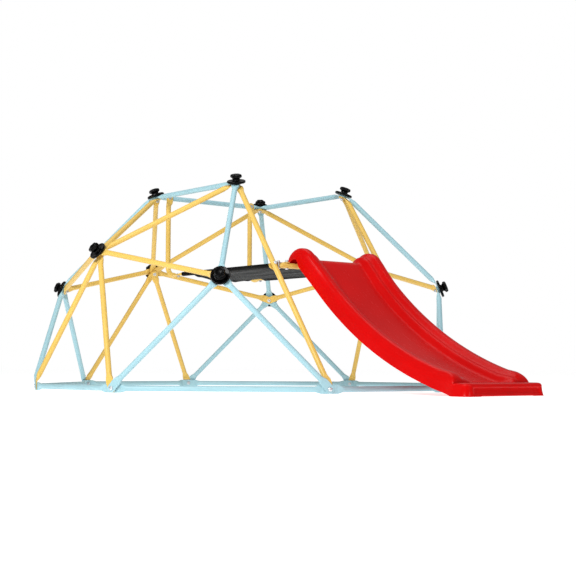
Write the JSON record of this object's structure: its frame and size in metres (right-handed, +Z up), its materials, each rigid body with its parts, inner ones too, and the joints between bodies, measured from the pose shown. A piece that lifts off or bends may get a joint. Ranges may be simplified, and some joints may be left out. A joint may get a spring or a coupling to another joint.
{
  "type": "dome climber",
  "caption": "Low toddler dome climber of flattened-end steel tubes with moulded hub caps, a cloth platform inside and a moulded slide on one side.",
  "frame": {"origin": "on the ground under the middle of the whole object", "axes": "+X points down the slide, away from the dome; +Y to the left of a child going down it; +Z up"},
  "size_m": [2.4262, 1.8284, 0.9126],
  "materials": {
    "teal_paint": "satin powder coat",
    "yellow_paint": "satin powder coat",
    "black_plastic": "gloss",
    "red_plastic": "semi-gloss moulded",
    "black_cloth": "coated woven cloth"
  },
  "bodies": {
    "root": {"base_long_back_left": "teal_paint", "base_long_back_right": "teal_paint", "base_long_front_left": "teal_paint", "base_long_front_right": "teal_paint", "base_short_back": "teal_paint", "base_short_front": "teal_paint", "base_short_left": "teal_paint", "base_short_right": "teal_paint", "corner_leg_back_left_1": "teal_paint", "corner_leg_back_left_2": "teal_paint", "corner_leg_back_right_1": "teal_paint", "corner_leg_back_right_2": "teal_paint", "corner_leg_front_left_1": "teal_paint", "corner_leg_front_left_2": "teal_paint", "corner_leg_front_right_1": "teal_paint", "corner_leg_front_right_2": "teal_paint", "corner_post_back_left": "teal_paint", "corner_post_back_right": "teal_paint", "corner_post_front_left": "teal_paint", "corner_post_front_right": "teal_paint", "front_rail": "yellow_paint", "hub_corner_back_left": "black_plastic", "hub_corner_back_right": "black_plastic", "hub_corner_front_left": "black_plastic", "hub_corner_front_right": "black_plastic", "hub_side_back": "black_plastic", "hub_side_left": "black_plastic", "hub_side_right": "black_plastic", "hub_top_back_left": "black_plastic", "hub_top_back_right": "black_plastic", "hub_top_front_left": "black_plastic", "hub_top_front_right": "black_plastic", "lower_brace_back_1": "yellow_paint", "lower_brace_back_2": "yellow_paint", "lower_brace_left_1": "yellow_paint", "lower_brace_left_2": "yellow_paint", "lower_brace_right_1": "yellow_paint", "lower_brace_right_2": "yellow_paint", "platform_cloth": "black_cloth", "platform_frame_left": "yellow_paint", "platform_frame_right": "yellow_paint", "side_rail_back_1": "yellow_paint", "side_rail_back_2": "yellow_paint", "side_rail_left_1": "yellow_paint", "side_rail_left_2": "yellow_paint", "side_rail_right_1": "yellow_paint", "side_rail_right_2": "yellow_paint", "slide": "red_plastic", "slide_post_left": "yellow_paint", "slide_post_right": "yellow_paint", "top_rail_back": "teal_paint", "top_rail_left": "teal_paint", "top_rail_right": "teal_paint", "upper_brace_back_1": "yellow_paint", "upper_brace_back_2": "yellow_paint", "upper_brace_left_1": "yellow_paint", "upper_brace_left_2": "yellow_paint", "upper_brace_right_1": "yellow_paint", "upper_brace_right_2": "yellow_paint"}
  },
  "joints": []
}
